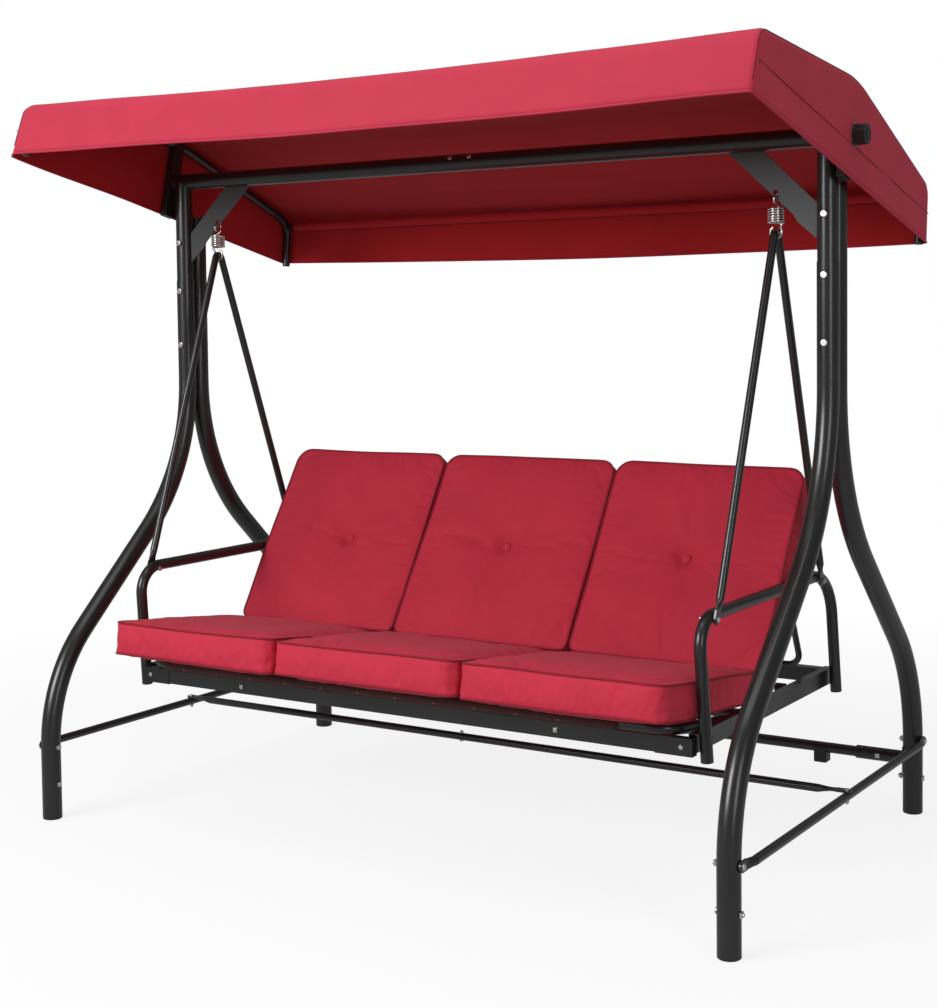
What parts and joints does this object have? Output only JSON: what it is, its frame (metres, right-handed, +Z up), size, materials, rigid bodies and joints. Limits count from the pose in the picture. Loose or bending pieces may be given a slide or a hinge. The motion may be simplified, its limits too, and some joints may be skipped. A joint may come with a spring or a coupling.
{
  "type": "canopy patio swing",
  "caption": "Freestanding garden swing bench: bent tube stand, tilting fabric canopy, spring-hung cushioned seat and a back that folds flat.",
  "frame": {"origin": "on the floor, midway between the four feet", "axes": "+X along the bench towards the end on the right of a viewer facing it, +Y to the rear, +Z up; the sitter faces -Y"},
  "size_m": [2.0864, 1.2079, 1.8427],
  "materials": {
    "frame_paint": "satin powder coat",
    "plate_steel": "satin powder coat",
    "zinc_bolts": "zinc plated",
    "spring_steel": "bright plated wire",
    "black_plastic": "satin moulded",
    "canopy_fabric": "woven polyester",
    "cushion_fabric": "woven polyester over foam",
    "sling_fabric": "woven sling"
  },
  "bodies": {
    "stand": {"leg_front_right": "frame_paint", "leg_front_left": "frame_paint", "leg_rear_right": "frame_paint", "leg_rear_left": "frame_paint", "foot_plugs": "black_plastic", "rear_post_caps": "black_plastic", "top_frame_right": "frame_paint", "top_frame_left": "frame_paint", "beam_bolts": "zinc_bolts", "brace_plate_right": "plate_steel", "brace_plate_left": "plate_steel", "post_bolts": "zinc_bolts", "base_rail_right": "frame_paint", "base_rail_left": "frame_paint", "rear_cross_rail": "frame_paint", "rear_rail_saddles": "frame_paint", "rear_rail_buffers": "black_plastic", "stretcher_right": "frame_paint", "stretcher_left": "frame_paint", "base_bolts": "zinc_bolts", "canopy_pivot_bolts": "zinc_bolts"},
    "canopy": {"canopy_fabric": "canopy_fabric", "canopy_side_frame_right": "frame_paint", "canopy_side_frame_left": "frame_paint", "canopy_front_bar": "frame_paint", "canopy_rear_bar": "frame_paint", "canopy_frame_plugs": "black_plastic"},
    "knob_right_body": {"knob_right": "black_plastic"},
    "knob_left_body": {"knob_left": "black_plastic"},
    "springs": {"spring_right": "spring_steel", "spring_left": "spring_steel"},
    "seat": {"hanger_right": "frame_paint", "hanger_left": "frame_paint", "hanger_bolts": "zinc_bolts", "arm_right": "frame_paint", "arm_left": "frame_paint", "arm_end_plugs": "black_plastic", "seat_rail_right": "frame_paint", "seat_rail_left": "frame_paint", "seat_front_rail": "frame_paint", "seat_rear_rail": "frame_paint", "front_rail_sockets": "frame_paint", "seat_rail_bolts": "zinc_bolts", "bed_stops": "black_plastic", "seat_panel_frame": "frame_paint", "seat_sling": "sling_fabric", "seat_panel_brackets": "frame_paint", "seat_cushion_left": "cushion_fabric", "seat_cushion_middle": "cushion_fabric", "seat_cushion_right": "cushion_fabric", "recline_brackets": "frame_paint", "recline_pins": "zinc_bolts"},
    "backrest": {"back_frame": "frame_paint", "back_sling": "sling_fabric", "back_cushion_left": "cushion_fabric", "back_cushion_middle": "cushion_fabric", "back_cushion_right": "cushion_fabric", "back_buttons": "cushion_fabric", "bail_pins": "zinc_bolts"},
    "bail": {"support_bail": "frame_paint"}
  },
  "joints": [
    {"name": "swing", "type": "hinge", "parent": "stand", "child": "springs", "pos_m": [0, -0.0255, 1.5565], "axis": [1, 0, 0], "range_deg": [-15, 15]},
    {"name": "spring_stretch", "type": "slide", "parent": "springs", "child": "seat", "axis": [0, 0, -1], "range_m": [0, 0.025], "stiffness_N_per_m": 9000, "deforming": ["spring_right", "spring_left"]},
    {"name": "recline", "type": "hinge", "parent": "seat", "child": "backrest", "pos_m": [0, 0.0493, 0.4], "axis": [-1, 0, 0], "range_deg": [0, 57.5]},
    {"name": "bail_fold", "type": "hinge", "parent": "backrest", "child": "bail", "pos_m": [0, 0.24627, 0.70919], "axis": [-1, 0, 0], "range_deg": [0, 54.7]},
    {"name": "canopy_tilt", "type": "hinge", "parent": "stand", "child": "canopy", "pos_m": [0, -0.0255, 1.676], "axis": [1, 0, 0], "range_deg": [-10, 40]},
    {"name": "knob_turn_right", "type": "hinge", "parent": "stand", "child": "knob_right_body", "pos_m": [1.03, -0.0255, 1.676], "axis": [1, 0, 0], "range_deg": [-180, 180]},
    {"name": "knob_turn_left", "type": "hinge", "parent": "stand", "child": "knob_left_body", "pos_m": [-1.03, -0.0255, 1.676], "axis": [1, 0, 0], "range_deg": [-180, 180]}
  ],
  "couplings": [
    {"joint": "bail_fold", "follows": "recline", "ratio": 0.95}
  ]
}
